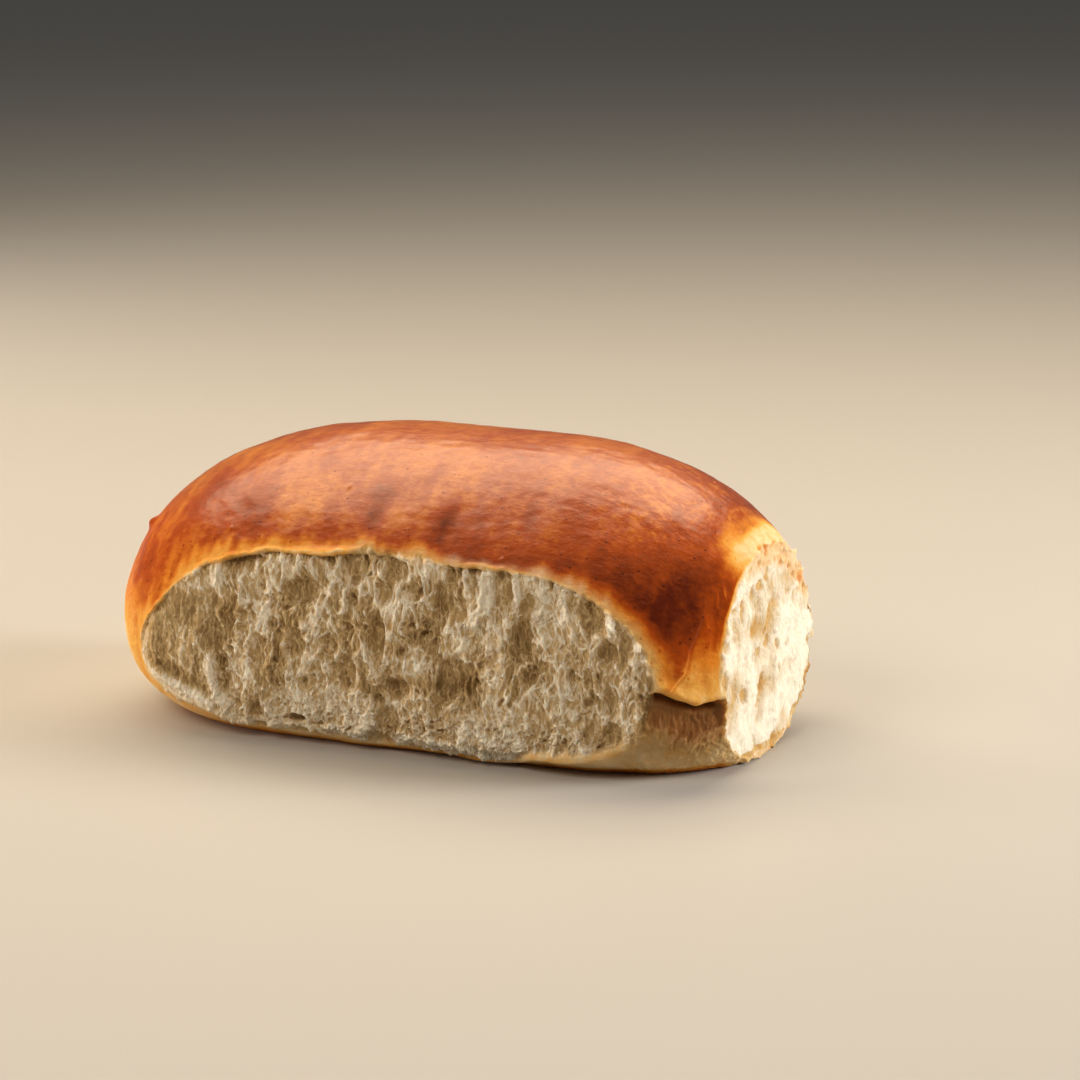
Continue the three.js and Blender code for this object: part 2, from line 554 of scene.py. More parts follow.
# The crust tongue's folded edge: heights, and the corner run at each.
FOLD_HEIGHTS = (16.0, 17.9, 21.5, 25.7, 29.5, 34.6, 40.0)
FOLD_RUNS = (55.5, 57.7, 63.0, 64.9, 68.5, 72.6, 80.0)

# The cleft under the tongue: corner runs, and the height at each.
CLEFT_RUNS = (53.0, 57.7, 61.8, 66.6, 71.1, 76.0)
CLEFT_HEIGHTS = (18.6, 17.9, 16.4, 15.2, 15.6, 17.0)


def fold_line(z):
    """Where the crust tongue's folded edge stands at each height, as corner run."""
    return np.interp(z, FOLD_HEIGHTS, FOLD_RUNS)


def cleft_line(run):
    """Height of the cleft under the crust tongue, at each corner run."""
    return np.interp(run, CLEFT_RUNS, CLEFT_HEIGHTS)


def corner_relief(points, seed):
    """The folded crust tongue, the cleft below it, and the pale skin under that."""
    run = corner_run(points)
    z = points[:, 2]
    here = smooth_step(run, 52.0, 56.5)
    over = z - cleft_line(run) + 0.35 * swell(points, 3.0, seed)
    lip = 0.8 * bump(over, 1.2, 1.3)
    groove = -2.6 * bump(over, -0.5, 0.6) - 0.9 * bump(over, -2.2, 2.6)
    wavy = 0.35 * swell(points, 2.6, seed + 5)
    before_fold = fold_line(z) - run + wavy
    low_down = smooth_step(over, 0.0, 1.5) * smooth_step(z, 36.0, 27.0)
    tongue = 0.45 * smooth_step(before_fold, -0.5, 0.3) * np.exp(-np.clip(before_fold, 0, None) / 7.0)
    tongue += 0.12 * smooth_step(before_fold, -2.0, -3.0) * swell(points * [1, 1, 0.3], 2.2, seed + 6)
    below = smooth_step(over, -0.5, -2.5)
    hanging = wandering(points, 0.5, 3.0, seed + 7) * [1.0, 1.0, 0.14]
    fibres = strands(hanging, 1.1, seed + 1, sharpness=2.4)
    return here * (lip + groove + tongue * low_down + 0.26 * (fibres - 0.4) * below)


# ---------------------------------------------------------------- whole skin

# How far the crust stays pale outside the rim of a side tear, how strongly, and how far its
# lip stands over the crumb, by angle round that tear.
RIM_ANGLES = (-180, -150, -90, -30, 0, 30, 48, 56, 78, 88, 122, 132, 150, 180)
PALE_REACH = (5.0, 7.0, 9.0, 6.0, 4.5, 4.0, 2.6, 1.6, 1.6, 3.0, 3.0, 2.8, 3.2, 5.0)
PALE_SHARE = (0.6, 0.7, 0.6, 0.6, 0.75, 0.65, 0.45, 0.3, 0.35, 0.7, 0.6, 0.6, 0.65, 0.6)
LIP_SHARE = (0.4, 0.2, 0.1, 0.1, 0.1, 0.1, 0.1, 0.7, 0.7, 0.0, 0.0, 1.0, 0.8, 0.4)

# How far in millimetres each feature stands off the skin, or how deep it lies in it.
LIP_OVERHANG = 0.4
RECESS_BEHIND_LIP = 1.1
FLAP_HEIGHT = 0.5
FLECK_HEIGHT = 0.6
ROLLED_EDGE_HEIGHT = 0.7
TRAY_LIP_HEIGHT = 1.2
BLISTER_DEPTH = 0.6
GROOVE_DEPTH = 0.45
CREASE_HEIGHT = 0.25
FLAKE_REACH = 1.6


def lay_out(points):
    """Where each point lies: how far inside each tear's rim, and how far torn it is."""
    x, y, z = points.T
    at = SimpleNamespace(points=points, x=x, y=y, z=z, run=corner_run(points))
    at.over = z - cleft_line(at.run)
    at.bearing = np.degrees(np.arctan2(z - BELT_HEIGHT, x - FATTEST_SECTION))
    at.lip_share = np.interp(at.bearing, RIM_ANGLES, LIP_SHARE) * smooth_step(z, 8.0, 16.0)
    at.uneven = np.clip(0.75 + 0.9 * swell(points, 5.0, SEED + 11), 0.15, 1.5)
    at.streaks = swell(points * [1, 0.2, 0.2], 1.8, SEED + 60)
    at.streaks += 0.8 * swell(points * [1, 0.3, 0.3], 5.0, SEED + 61)
    at.ragged = 0.5 * swell(points, 4.5, SEED) + 0.35 * swell(points, 1.4, SEED + 1)
    at.ragged *= 1 + 1.5 * smooth_step(at.bearing, 82.0, 92.0) * smooth_step(at.bearing, 128.0, 118.0)

    # The crust hangs lower in a flap where its lip ends, and the tear runs up beside the flap.
    over_tear = 0.6 * bump(x, -10.5, 3.0) - 0.6 * bump(x, -3.0, 4.0) + 0.5 * bump(x, 19.0, 6.0)
    over_tear = np.where((y < 0) & (z > 30), over_tear, 0.0) + 0.45 * swell(points, 9.0, SEED + 13)
    at.side = side_inset(points) - over_tear
    at.end = end_inset(points)
    # Crumb fades into thin crust over the middle of the tear, and into the skin by the cleft.
    soft = smooth_step(at.bearing, 84.0, 94.0) * smooth_step(at.bearing, 128.0, 118.0)
    soft += bump(at.bearing, -9.0, 10.0)
    side_rim = at.side + at.ragged * (1 - 0.4 * at.lip_share) - 0.1 * at.lip_share
    at.on_side = smooth_step(side_rim, -0.2 - 0.8 * soft, 0.4 + 1.2 * soft)
    at.on_end = smooth_step(at.end + at.ragged, -0.2, 0.4)

    # The dough rolled out pale along the round end's lower rim, and into a lobed lip on the tray.
    at.rolled_edge = bump(at.side, 1.4, 1.2) * bump(at.bearing % 360, 195.0, 19.0)
    lobes = 0.8 + 0.5 * swell(points * [1.0, 0.0, 0.0], 11.0, SEED + 17)
    at.tray_lip = smooth_step(x, 3.0, 24.0) * bump(at.side, -1.0, 1.1) * smooth_step(z, 9.0, 5.0) * lobes

    past_fold = at.run - fold_line(z) - 0.35 * swell(points, 2.6, SEED + 25)
    at.beyond_fold = smooth_step(past_fold, -0.3, 2.0) * smooth_step(z, 40.0, 24.0)
    at.fold_edge = 0.5 * bump(past_fold, 0.2, 0.9) * smooth_step(z, 28.0, 19.0)
    return at


def end_blisters(at):
    """The band along the top of the torn end, and the burst, browned blisters in it."""
    pushed = wandering(at.points, 1.0, 2.4, SEED + 8) * [1.0, 1.0, 0.7]
    _, gap = bubble_gaps(pushed, 2.6, SEED + 9)
    blister = 0.85 * smooth_step(gap + 0.15 * swell(at.points, 1.2, SEED + 12), 0.1, 0.6)
    high = smooth_step(at.z + 0.3 * at.y, 28.0, 37.0)
    band = smooth_step(bump(at.end + 0.7 * at.ragged, 1.8, 2.6) * high, 0.1, 0.8)
    blister *= band
    for across, upward, half_width in END_BLISTERS:
        away = np.hypot(at.y - across, 0.7 * (at.z - upward)) + 0.5 * swell(at.points, 1.5, SEED + 14)
        pit = 0.7 * smooth_step(away / half_width, 1.3, 0.5) * (at.x > TORN_END - 1)
        blister = np.maximum(blister, pit)
    return band, blister


def end_edge(at):
    """Grooves, browned and painted darker as shade, and fine pale creases in the crust by the torn end's
    front edge.
    """
    front = smooth_step(at.y, 2.0, -6.0)
    groove = bump(at.end, -1.8, 1.5) * front * bump(at.z, 29.0, 7.0)
    groove *= smooth_step(swell(at.points, 8.0, SEED + 10), -0.5, 0.2)
    crease = smooth_step(swell(at.points * [1.0, 1.0, 0.15], 1.1, SEED + 15), -0.1, 0.5)
    crease *= bump(at.end, -2.4, 1.8)
    crease *= 0.45 * front * bump(at.z, 31.0, 8.0)
    return groove, crease


def relief_and_crumb_shading(at, torn):
    """Relief of the crust and the crumb in mm, and the crumb colour's tone and painted shading."""
    _, dent_depth = shoulder_dents(at.points)
    height = crust_relief(at.points, SEED + 5) + dent_depth + corner_relief(at.points, SEED + 20)
    crumb_tone_and_shading = np.zeros(len(at.points))
    for chosen, recipe, seed in (
        ((at.on_side > 0) & (at.y < 0), side_crumb, SEED + 100),
        ((at.on_side > 0) & (at.y > 0), side_crumb, SEED + 300),
        (at.on_end > 0, end_crumb, SEED + 700),
    ):
        relief, tone_and_shading = recipe(at.points[chosen], seed)
        share = torn[chosen]
        height[chosen] = height[chosen] * (1 - share) + relief * share
        crumb_tone_and_shading[chosen] = tone_and_shading

    # The crust's lip stands over crumb that tore away behind it, most at the round end.
    inside = np.clip(at.side, 0, None)
    recess = (0.2 + at.lip_share * at.uneven) * at.on_side * RECESS_BEHIND_LIP
    height -= recess * np.exp(-inside / 2.4)
    # The crumb just under the lip is painted darker, as painted shade.
    crumb_tone_and_shading += 0.6 * at.lip_share * np.exp(-inside / 1.2)
    height = height * (1 - 0.5 * at.rolled_edge) + ROLLED_EDGE_HEIGHT * at.rolled_edge
    crumb_tone_and_shading *= 1 - 0.9 * at.rolled_edge
    height += at.lip_share * at.uneven * bump(at.side + 0.5 * at.ragged, -0.3, 0.45)
    flap = bump(at.x, -10.5, 3.5) * bump(at.side, -0.3, 0.9) * (at.y < 0) * (at.z > 30)
    height += FLAP_HEIGHT * flap
    # Where no lip stands, torn flecks fringe the crumb.
    fringe = smooth_step(swell(at.points, 1.6, SEED + 2), -0.1, 0.5)
    fringe = fringe * bump(at.side, 0.4, 0.5) * (1 - at.lip_share)
    height += FLECK_HEIGHT * fringe * (at.z > 6)
    crumb_tone_and_shading *= 1 - 0.45 * fringe
    height += TRAY_LIP_HEIGHT * at.tray_lip * smooth_step(at.x, 60.0, 50.0)
    return height, crumb_tone_and_shading


def pale_share(at, crease):
    """How pale the crust stayed: toward the tears in streaks, by the fold, and low down."""
    streak_share = np.interp(at.bearing, (-180, 15, 60, 180), (0.2, 0.05, 0.4, 0.6))
    side_reach = np.interp(at.bearing, RIM_ANGLES, PALE_REACH)
    side_pale = np.interp(at.bearing, RIM_ANGLES, PALE_SHARE)
    side_pale *= smooth_step(at.side / side_reach + streak_share * at.streaks, -1.3, -0.05)
    end_top = smooth_step(at.z + 0.4 * at.y, 28.0, 38.0)
    end_reach = 3.0 + 3.5 * end_top
    end_pale = smooth_step(at.end / end_reach + 0.25 * at.streaks, -1.35, -0.35)
    end_pale *= 0.12 + 0.84 * end_top
    # The tray shaded it low down.
    low_pale = np.interp(at.x, (20.0, 45.0), (0.75, 0.92)) * smooth_step(at.z + 2 * at.streaks, 15.0, 3.0)
    tip_pale = smooth_step(at.x, -46.0, -60.0) * smooth_step(at.z + 2 * at.streaks, 32.0, 16.0)
    tip_pale *= 0.75 + 0.2 * smooth_step(at.z, 20.0, 10.0)
    inset = np.maximum(at.side, at.end) + 0.4 * at.ragged
    rim_line = (0.9 - 0.15 * at.lip_share) * smooth_step(inset, -0.9 + 0.2 * at.lip_share, -0.3)
    lip_line = at.lip_share * smooth_step(at.uneven, 0.1, 0.5) * bump(at.side + 0.4 * at.ragged, -0.4, 0.5)
    fold_pale = np.interp(at.z, (17.0, 23.0, 32.0), (0.66, 0.4, 0.1)) * at.beyond_fold
    cleft_lip = 0.55 * bump(at.over, 0.6, 1.6) * smooth_step(at.run, 54.0, 57.0)
    return np.maximum.reduce([
        side_pale, end_pale, low_pale, np.clip(0.9 * at.tray_lip, 0, 0.9), tip_pale, rim_line,
        lip_line, crease, fold_pale, at.fold_edge, cleft_lip,
    ])


def browning_and_shade(at, pale):
    """How browned the crust is, from 0 to 1, with painted shade and a painted highlight worked in, and its
    broad mottling.
    """
    points, z = at.points, at.z
    dent_shade, _ = shoulder_dents(points)
    # The crust tongue by the corner is painted darker, as painted shade.
    tongue = bump(at.run, fold_line(z) - 9.0, 8.0) * smooth_step(z, 16.0, 22.0) * smooth_step(z, 46.0, 28.0)
    crown = smooth_step(z, 8.0, 30.0)
    top = smooth_step(z, 46.0, 54.0)
    # The shoulder band is darker, partly from browning and partly as painted shade.
    shoulder = bump(z, 34.0, 11.0) * smooth_step(at.x, -20.0, 35.0)
    shoulder *= 1 - 0.3 * smooth_step(at.run + 2.0 * at.streaks, 60.0, 72.0) * (at.y < 0)
    mottle = 0.13 * rough_swell(points, 16.0, SEED + 70)
    mottle += 0.08 * swell(points * [1, 0.25, 0.25], 2.6, SEED + 71)
    mottle += 0.06 * swell(points * [1, 0.4, 0.4], 5.5, SEED + 72) + 0.04 * swell(points, 1.3, SEED + 74)
    # Along the top the crust is painted a little paler and less mottled, as painted highlight.
    mottle *= 1 - 0.4 * top
    veins = strands(points, 2.2, SEED + 73) * smooth_step(at.x, 34.0, 50.0) * smooth_step(z, 40.0, 47.0)
    browned_and_shade = 0.42 + 0.18 * crown - 0.03 * top + 0.32 * shoulder + 0.22 * dent_shade + 0.19 * tongue
    browned_and_shade = browned_and_shade + mottle - 0.12 * veins
    return browned_and_shade * (1 - 0.95 * pale), mottle


def finished_roll():
    """The roll's points with all their relief, and what each point is made of."""
    rings = bare_roll()
    points = rings.reshape(-1, 3)
    facing = outward(rings, 6).reshape(-1, 3)
    at = lay_out(points)
    x, y, z = points.T
    torn = np.maximum(at.on_side, at.on_end)
    height, crumb_tone_and_shading = relief_and_crumb_shading(at, torn)

    band, blister = end_blisters(at)
    crumb_tone_and_shading *= 1 - 0.6 * band
    height -= BLISTER_DEPTH * blister
    torn = torn * (1 - 0.9 * blister)
    # A thin strip of the base crust shows under the tear, most under its round end's half.
    strip = smooth_step(z + 0.5 * at.ragged, 2.6, 1.0) * np.interp(x, (0.0, 14.0), (1.0, 0.5))
    torn = torn * (1 - strip) * (1 - 0.4 * at.rolled_edge)
    groove, crease = end_edge(at)
    height -= GROOVE_DEPTH * groove
    height += CREASE_HEIGHT * crease
    # A thin flake stands off the torn end's front edge.
    flake = bump(at.end, 0.5, 0.5) * smooth_step(y, -14.0, -19.0) * bump(z, 16.0, 7.0)
    height += flake * smooth_step(swell(points, 5.0, SEED + 16), -0.6, 0.2)

    browned_and_shade, mottle = browning_and_shade(at, pale_share(at, crease))
    # The skin under the tongue, and the frayed crumb below it, are painted darker toward the cleft, as
    # painted shade.
    skin = smooth_step(at.run, 52.0, 54.5) * smooth_step(at.over, 0.0, -0.6)
    shaded = smooth_step(at.over + 2.0 * swell(points, 4.0, SEED + 26), -12.0, -1.0)
    browned_and_shade = browned_and_shade * (1 - skin) + (0.08 + 0.75 * shaded) * skin
    # The tray baked the base golden, and left it matt.
    base = smooth_step(z, 2.4, 0.6) * smooth_step(np.abs(y), HALF_WIDTH, HALF_WIDTH - 6.0)
    base *= smooth_step(at.end + 1.5 * swell(points, 5.0, SEED + 28), 0.0, -4.0)
    browned_and_shade = np.maximum(browned_and_shade, base * (0.4 + 0.9 * mottle))

    # Right of the lip the crust tore thin, and crumb shows through it along the rim.
    thin = smooth_step(at.side + 0.7 * at.streaks, -2.4, -0.1) * smooth_step(z, 14.0, 20.0)
    thin_share = np.interp(at.bearing, (-10, 10, 70, 86, 122, 130), (0.0, 0.5, 0.6, 0.45, 0.45, 0.0))
    thin *= thin_share * (1 - torn)
    # Where crumb shows through thin crust, it is painted darker low down, as painted shade.
    crumb_tone_and_shading = np.where(torn > 0, crumb_tone_and_shading, 0.4 + 0.25 * smooth_step(z, 38.0, 26.0) - 0.15 * at.streaks)
    torn = torn + thin
    # The skin under the cleft stretched until it frayed, so it is part way to crumb.
    frayed = smooth_step(at.run + 2.0 * at.streaks, 45.0, 53.0) * smooth_step(at.over, 0.0, -0.6)
    frayed *= 0.75 * smooth_step(z + 2.0 * at.streaks, 1.0, 7.0) * (1 - torn) * (1 - base)
    grained = strands(points * [1.0, 1.0, 0.14], 1.1, SEED + 27, sharpness=2.4)
    crumb_tone_and_shading = np.where(frayed > 0, np.maximum(crumb_tone_and_shading, 0.62 + 0.75 * shaded - 0.36 * grained), crumb_tone_and_shading)
    torn = torn + frayed
    # Pits in the torn end are painted golden, as light soaking through the crumb.
    golden = at.on_end * np.maximum(0.5 * smooth_step(crumb_tone_and_shading, 0.22, 0.6), 0.6 * band)
    torn = torn - golden * torn
    browned_and_shade = np.maximum(browned_and_shade * (1 - at.on_end), 0.17 * at.on_end)
    browned_and_shade = np.maximum(browned_and_shade, np.maximum(0.52 * blister, 0.78 * groove))

    # Egg wash was brushed over the top, and thins out down the sides.
    dent_shade, _ = shoulder_dents(points)
    glazed = smooth_step(browned_and_shade, 0.15, 0.5) * (0.3 + 0.7 * smooth_step(z, 34.0, 45.0))
    glazed *= (1 - 0.8 * at.beyond_fold) * (1 - 0.5 * dent_shade)
    glazed *= (1 - torn) * (1 - blister) * (1 - base)

    # The lip leans in over the crumb, and torn flakes stand round the end's lower edge.
    level = np.radians(at.bearing)
    inward = -np.stack([np.cos(level), 0 * x, np.sin(level)], axis=1)
    overhang = LIP_OVERHANG * at.lip_share * bump(at.side, -0.1, 0.5) * (np.abs(y) > HALF_WIDTH - 4)
    flakes = smooth_step(swell(points, 2.2, SEED + 3) + 0.5 * swell(points, 0.9, SEED + 4), 0.0, 0.7)
    flakes = flakes * bump(at.end, 0.3, 0.9)
    flakes = flakes * smooth_step(z, 42.0, 34.0) * smooth_step(y - 0.5 * z, -18.0, -8.0)
    from_middle = points * [0, 1, 1] - [0, 0, END_CENTRE_HEIGHT]
    from_middle /= np.linalg.norm(from_middle, axis=1, keepdims=True) + 1e-9
    finished = points + facing * height[:, None] + inward * overhang[:, None]
    finished += from_middle * (FLAKE_REACH * flakes)[:, None]
    finished[:, 2] = np.maximum(finished[:, 2], 0.0)
    fields = {
        "torn": torn,
        "browned_and_shade": np.clip(browned_and_shade, 0, 1),
        "crumb_tone_and_shading": np.clip(crumb_tone_and_shading, 0, 1),
        "glazed": glazed,
        "threads": np.where(at.on_end > 0, 0.3, 1 - 0.8 * smooth_step(frayed + thin, 0.0, 0.3)),
    }
    return finished.reshape(rings.shape), fields


def skin_mesh(name, rings, fields):
    """A closed mesh over the rings, with one flat chart that unrolls the skin."""
    ring_count, around = rings.shape[:2]
    first_tip = rings[0].mean(axis=0)
    last_tip = rings[-1].mean(axis=0)
    points = np.concatenate([rings.reshape(-1, 3), [first_tip, last_tip]]) * MM
    ring, place = np.meshgrid(np.arange(ring_count - 1), np.arange(around), indexing="ij")
    ring, place = ring.ravel(), place.ravel()
    beyond = (place + 1) % around
    quads = np.stack([
        ring * around + place,
        (ring + 1) * around + place,
        (ring + 1) * around + beyond,
        ring * around + beyond,
    ], axis=1)
    place = np.arange(around)
    beyond = (place + 1) % around
    tip = ring_count * around
    last = (ring_count - 1) * around
    first_fan = np.stack([np.full(around, tip), place, beyond], axis=1)
    last_fan = np.stack([np.full(around, tip + 1), last + beyond, last + place], axis=1)

    mesh = bpy.data.meshes.new(name)
    corners = np.concatenate([quads.ravel(), first_fan.ravel(), last_fan.ravel()])
    starts = np.concatenate([
        np.arange(len(quads)) * 4,
        len(quads) * 4 + np.arange(2 * around) * 3,
    ])
    mesh.vertices.add(len(points))
    mesh.vertices.foreach_set("co", points.astype(np.float32).ravel())
    mesh.loops.add(len(corners))
    mesh.loops.foreach_set("vertex_index", corners.astype(np.int32))
    mesh.polygons.add(len(starts))
    mesh.polygons.foreach_set("loop_start", starts.astype(np.int32))
    mesh.update(calc_edges=True)
    mesh.polygons.foreach_set("use_smooth", np.ones(len(starts), bool))

    # The chart: u runs along the roll, v round it, inside a thin margin.
    margin = 0.004
    span = 1 - 2 * margin
    ring = np.arange(ring_count - 1)[:, None] * np.ones(around)
    place = np.ones(ring_count - 1)[:, None] * np.arange(around)
    ring, place = ring.ravel() + 1, place.ravel()
    quad_u = np.stack([ring, ring + 1, ring + 1, ring], axis=1)
    quad_v = np.stack([place, place, place + 1, place + 1], axis=1)
    place = np.arange(around)
    first_u = np.stack([np.zeros(around), np.ones(around), np.ones(around)], axis=1)
    first_v = np.stack([place + 0.5, place, place + 1], axis=1)
    last_u = np.stack([
        np.full(around, ring_count + 1), np.full(around, ring_count), np.full(around, ring_count),
    ], axis=1)
    last_v = np.stack([place + 0.5, place + 1, place], axis=1)
    u = np.concatenate([quad_u.ravel(), first_u.ravel(), last_u.ravel()]) / (ring_count + 1)
    v = np.concatenate([quad_v.ravel(), first_v.ravel(), last_v.ravel()]) / around
    chart = mesh.uv_layers.new(name="OFBake")
    flat = np.stack([margin + span * u, margin + span * v], axis=1)
    chart.data.foreach_set("uv", flat.astype(np.float32).ravel())

    for field, values in fields.items():
        tips = [values[:around].mean(), values[-around:].mean()]
        layer = mesh.attributes.new(field, "FLOAT", "POINT")
        layer.data.foreach_set("value", np.concatenate([values, tips]).astype(np.float32))
    mesh.update()
    return mesh


# ---------------------------------------------------------------- finishes

# Crust from unbaked pale to scorched, whose darker colours also serve as painted shade, and crumb from its
# strands, painted light, down into its hollows, painted shade.
CRUST_COLOURS = (
    (0.0, "#EED6A6"), (0.2, "#E9AC52"), (0.42, "#D67E24"), (0.64, "#AA4606"), (1.0, "#561801"),
)
CRUMB_COLOURS = ((0.0, "#FFF5E0"), (0.5, "#C9AB7A"), (1.0, "#755933"))


def linear(hex_colour):
    """An sRGB hex colour as the linear colour that a shader takes."""
    channels = [int(hex_colour[k:k + 2], 16) / 255 for k in (1, 3, 5)]
    return [c / 12.92 if c <= 0.04045 else ((c + 0.055) / 1.055) ** 2.4 for c in channels] + [1.0]


def add_node(tree, kind, inputs=None, **settings):
    """Adds one node with its settings; each input takes a value or the socket it is fed by."""
    made = tree.nodes.new(kind)
    for name, value in settings.items():
        setattr(made, name, value)
    for name, value in (inputs or {}).items():
        if isinstance(value, bpy.types.NodeSocket):
            tree.links.new(value, made.inputs[name])
        else:
            made.inputs[name].default_value = value
    return made


def colour_ramp(tree, share, stops):
    """A colour that runs through the stops, each a position and an sRGB hex colour."""
    ramp = add_node(tree, "ShaderNodeValToRGB", {"Fac": share})
    while len(ramp.color_ramp.elements) < len(stops):
        ramp.color_ramp.elements.new(0.5)
    for element, (position, colour) in zip(ramp.color_ramp.elements, stops):
        element.position = position
        element.color = linear(colour)
    return ramp.outputs["Color"]


def per_metre(millimetres):
    """The scale of a pattern whose grains are this many millimetres apart."""
    return 1000.0 / millimetres


def baked_bread():
    """Egg-washed crust, which gleams over browned sugar, and open crumb, which is matt."""
    material = bpy.data.materials.new("baked_milk_bread")
    material.use_nodes = True
    tree = material.node_tree
    tree.nodes.clear()
    torn, browned_and_shade, crumb_tone_and_shading, glazed, threads = (
        add_node(tree, "ShaderNodeAttribute", attribute_name=field).outputs["Fac"]
        for field in ("torn", "browned_and_shade", "crumb_tone_and_shading", "glazed", "threads")
    )
    place = add_node(tree, "ShaderNodeTexCoord").outputs["Object"]

    # Browned crust, from pale dough to dark caramel, uneven over a couple of millimetres; its browning also
    # carries painted shade.
    mottle = add_node(tree, "ShaderNodeTexNoise", {
        "Vector": place, "Scale": per_metre(2.4), "Detail": 5.0, "Roughness": 0.72,
    })
    toasted_and_shaded = add_node(tree, "ShaderNodeMath", {0: mottle.outputs["Fac"], 1: 0.44}, operation="MULTIPLY")
    toasted_and_shaded = add_node(tree, "ShaderNodeMath", {0: toasted_and_shaded.outputs[0], 1: -0.22}, operation="ADD")
    toasted_and_shaded = add_node(tree, "ShaderNodeMath", {0: toasted_and_shaded.outputs[0], 1: browned_and_shade}, operation="ADD")
    # Scorched specks about half a millimetre wide, four to the centimetre.
    speck = add_node(tree, "ShaderNodeTexVoronoi", {"Vector": place, "Scale": per_metre(2.4)})
    speck = add_node(tree, "ShaderNodeMapRange", {
        "Value": speck.outputs["Distance"],
        "From Min": 0.05, "From Max": 0.14, "To Min": 0.22, "To Max": 0.0,
    })
    toasted_and_shaded = add_node(tree, "ShaderNodeMath", {0: toasted_and_shaded.outputs[0], 1: speck.outputs[0]}, operation="ADD")
    crust = colour_ramp(tree, toasted_and_shaded.outputs[0], CRUST_COLOURS)

    # Crumb: cream strands, tan hollows that are painted shade, and finer strands than the facets can hold,
    # painted lighter.
    # Real ones are a tenth of a millimetre thick, and are drawn about three times as coarse so that they
    # show.
    tall = add_node(tree, "ShaderNodeVectorMath", {0: place, 1: (1.0, 1.0, 0.35)}, operation="MULTIPLY")
    drift = add_node(tree, "ShaderNodeTexNoise", {"Vector": place, "Scale": per_metre(2.0), "Detail": 2.0})
    drift = add_node(tree, "ShaderNodeVectorMath", {
        0: drift.outputs["Color"], 1: (1.2 * MM,) * 3,
    }, operation="MULTIPLY")
    bent = add_node(tree, "ShaderNodeVectorMath", {0: tall.outputs[0], 1: drift.outputs[0]}, operation="ADD")
    walls = add_node(tree, "ShaderNodeTexNoise", {
        "Vector": bent.outputs[0], "Scale": per_metre(1.1), "Detail": 1.5,
    })
    walls = add_node(tree, "ShaderNodeMath", {0: walls.outputs["Fac"], 1: 0.5}, operation="SUBTRACT")
    walls = add_node(tree, "ShaderNodeMath", {0: walls.outputs[0]}, operation="ABSOLUTE")
    thread = add_node(tree, "ShaderNodeMapRange", {
        "Value": walls.outputs[0], "From Min": 0.0, "From Max": 0.1, "To Min": 1.0, "To Max": 0.0,
    }, interpolation_type="SMOOTHSTEP")
    thread = add_node(tree, "ShaderNodeMath", {0: thread.outputs[0], 1: threads}, operation="MULTIPLY")
    open_crumb = add_node(tree, "ShaderNodeMath", {0: thread.outputs[0], 1: -0.28}, operation="MULTIPLY")
    open_crumb = add_node(tree, "ShaderNodeMath", {0: open_crumb.outputs[0], 1: crumb_tone_and_shading}, operation="ADD")
    open_crumb = add_node(tree, "ShaderNodeMath", {
        0: open_crumb.outputs[0], 1: 0.07,
    }, operation="ADD", use_clamp=True)
    crumb = colour_ramp(tree, open_crumb.outputs[0], CRUMB_COLOURS)
    colour = add_node(tree, "ShaderNodeMix", {0: torn, 6: crust, 7: crumb}, data_type="RGBA")
    rough = add_node(tree, "ShaderNodeMapRange", {
        "Value": glazed, "To Min": 0.85, "To Max": 0.4,
    })
    long = add_node(tree, "ShaderNodeVectorMath", {0: place, 1: (0.6, 1.0, 1.0)}, operation="MULTIPLY")
    # The skin's grain, a little under a millimetre, stretched along the roll.
    grain = add_node(tree, "ShaderNodeTexNoise", {
        "Vector": long.outputs[0], "Scale": per_metre(0.77), "Detail": 4.0,
    })
    skin_relief = add_node(tree, "ShaderNodeBump", {
        "Height": grain.outputs["Fac"], "Strength": 0.6, "Distance": 0.0004,
    })
    skin_relief = add_node(tree, "ShaderNodeBump", {
        "Height": speck.outputs[0], "Strength": 0.6, "Distance": 0.0006,
        "Normal": skin_relief.outputs["Normal"],
    })
    thread_height = add_node(tree, "ShaderNodeMath", {0: thread.outputs[0], 1: torn}, operation="MULTIPLY")
    relief = add_node(tree, "ShaderNodeBump", {
        "Height": thread_height.outputs[0], "Strength": 0.6, "Distance": 0.0003,
        "Normal": skin_relief.outputs["Normal"],
    })
    bread = add_node(tree, "ShaderNodeBsdfPrincipled", {
        "Base Color": colour.outputs[2],
        "Roughness": rough.outputs["Result"],
        "Coat Weight": glazed,
        "Coat Roughness": 0.28,
        "Normal": relief.outputs["Normal"],
        "IOR": 1.45,
        "Specular IOR Level": 0.25,
        "Subsurface Weight": 0.1,
        "Subsurface Radius": (1.0, 0.5, 0.25),
        "Subsurface Scale": 0.0015,
    })
    add_node(tree, "ShaderNodeOutputMaterial", {"Surface": bread.outputs["BSDF"]})
    return material


def pale_table():
    """Smooth off-white painted board, which shows the eye an even tone and no gleam."""
    material = bpy.data.materials.new("pale_painted_board")
    material.use_nodes = True
    tree = material.node_tree
    tree.nodes.clear()
    paint = add_node(tree, "ShaderNodeBsdfPrincipled", {
        "Base Color": linear("#BCBAB6"), "Roughness": 0.6,
    })
    add_node(tree, "ShaderNodeOutputMaterial", {"Surface": paint.outputs["BSDF"]})
    return material


# ---------------------------------------------------------------- studio

# Camera: degrees round from the front tear toward the torn end, and up; the rest in metres.
CAMERA_AZIMUTH = 23.7
CAMERA_ELEVATION = 13.0
CAMERA_DISTANCE = 0.807
CAMERA_TARGET = (0.0189, 0.0, 0.0366)
LENS_MM = 142.0

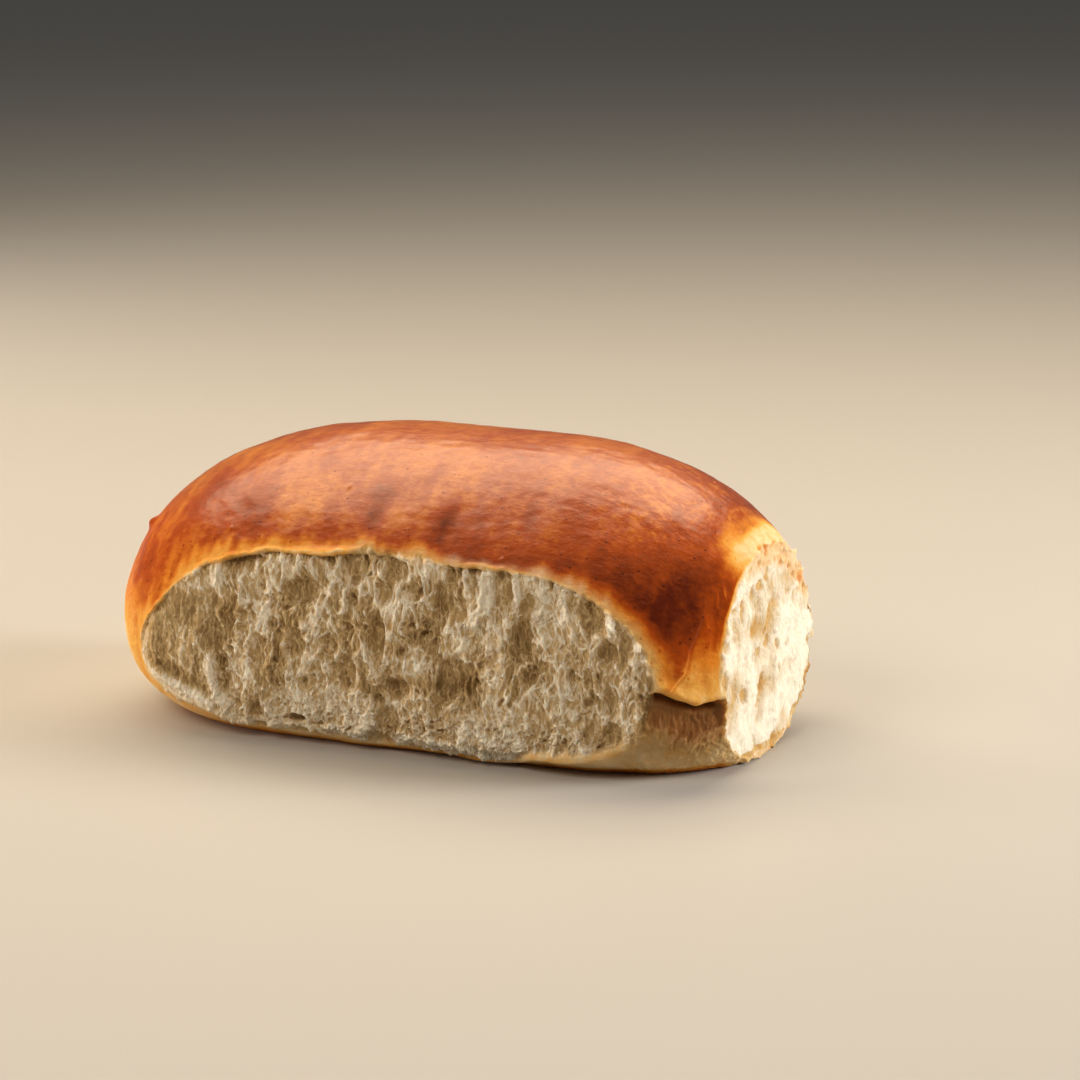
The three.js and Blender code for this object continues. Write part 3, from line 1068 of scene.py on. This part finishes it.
# Soft boxes that leave no gleam on the glaze: name, spot, size, watts and colour.
FILL_BOXES = (
    ("end_box", (0.6, 0.16, 0.26), (0.22, 0.22), 3.6, "#FFFCF8"),
    ("front_box", (-0.1, -0.45, 0.42), (0.25, 0.2), 1.3, "#FFF1E0"),
    ("round_end_box", (-0.55, 0.22, 0.1), (0.2, 0.2), 1.1, "#FFF1E0"),
    ("low_box", (-0.56, -0.14, 0.06), (0.1, 0.08), 1.4, "#FFF1E0"),
)


def soft_lamp(name, spot, target, size, power, colour):
    """A rectangular studio soft box that faces a target; sizes and places in metres."""
    data = bpy.data.lights.new(name, "AREA")
    data.shape = "RECTANGLE"
    data.size, data.size_y = size
    data.energy = power
    data.color = linear(colour)[:3]
    lamp = bpy.data.objects.new(name, data)
    lamp.location = spot
    lamp.rotation_euler = (Vector(target) - Vector(spot)).to_track_quat("-Z", "Y").to_euler()
    bpy.context.scene.collection.objects.link(lamp)
    return lamp


def studio():
    """Floor, soft boxes, dim room light and the camera."""
    floor_mesh = bpy.data.meshes.new("table_top")
    reach = 3.0
    floor_mesh.from_pydata(
        [(-reach, -reach, 0), (reach, -reach, 0), (reach, reach, 0), (-reach, reach, 0)],
        [], [(0, 1, 2, 3)],
    )
    floor = bpy.data.objects.new("table_top", floor_mesh)
    floor_mesh.materials.append(pale_table())
    bpy.context.scene.collection.objects.link(floor)

    middle = (0.0, 0.0, 0.03)
    soft_lamp("overhead_box", (-0.13, 0.19, 0.5), middle, (0.86, 0.43), 4.5, "#FFE6C2")
    for name, spot, size, power, colour in FILL_BOXES:
        lamp = soft_lamp(name, spot, middle, size, power, colour)
        lamp.visible_glossy = False

    world = bpy.data.worlds.new("studio_room")
    bpy.context.scene.world = world
    world.use_nodes = True
    background = world.node_tree.nodes["Background"]
    background.inputs["Color"].default_value = linear("#F2EEE8")
    background.inputs["Strength"].default_value = 0.1

    azimuth = math.radians(CAMERA_AZIMUTH)
    elevation = math.radians(CAMERA_ELEVATION)
    toward_camera = Vector((
        math.sin(azimuth) * math.cos(elevation),
        -math.cos(azimuth) * math.cos(elevation),
        math.sin(elevation),
    ))
    lens = bpy.data.cameras.new("camera")
    lens.sensor_width = 36.0
    lens.lens = LENS_MM
    lens.clip_start = 0.01
    camera = bpy.data.objects.new("camera", lens)
    camera.location = Vector(CAMERA_TARGET) + toward_camera * CAMERA_DISTANCE
    camera.rotation_euler = toward_camera.to_track_quat("Z", "Y").to_euler()
    bpy.context.scene.collection.objects.link(camera)
    bpy.context.scene.camera = camera
    bpy.context.scene.view_settings.view_transform = "Standard"


rings, fields = finished_roll()
roll = bpy.data.objects.new("milk_bread_roll", skin_mesh("milk_bread_roll", rings, fields))
roll.data.materials.append(baked_bread())
bpy.context.scene.collection.objects.link(roll)
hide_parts("bread_roll")
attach(roll, "root")

studio()
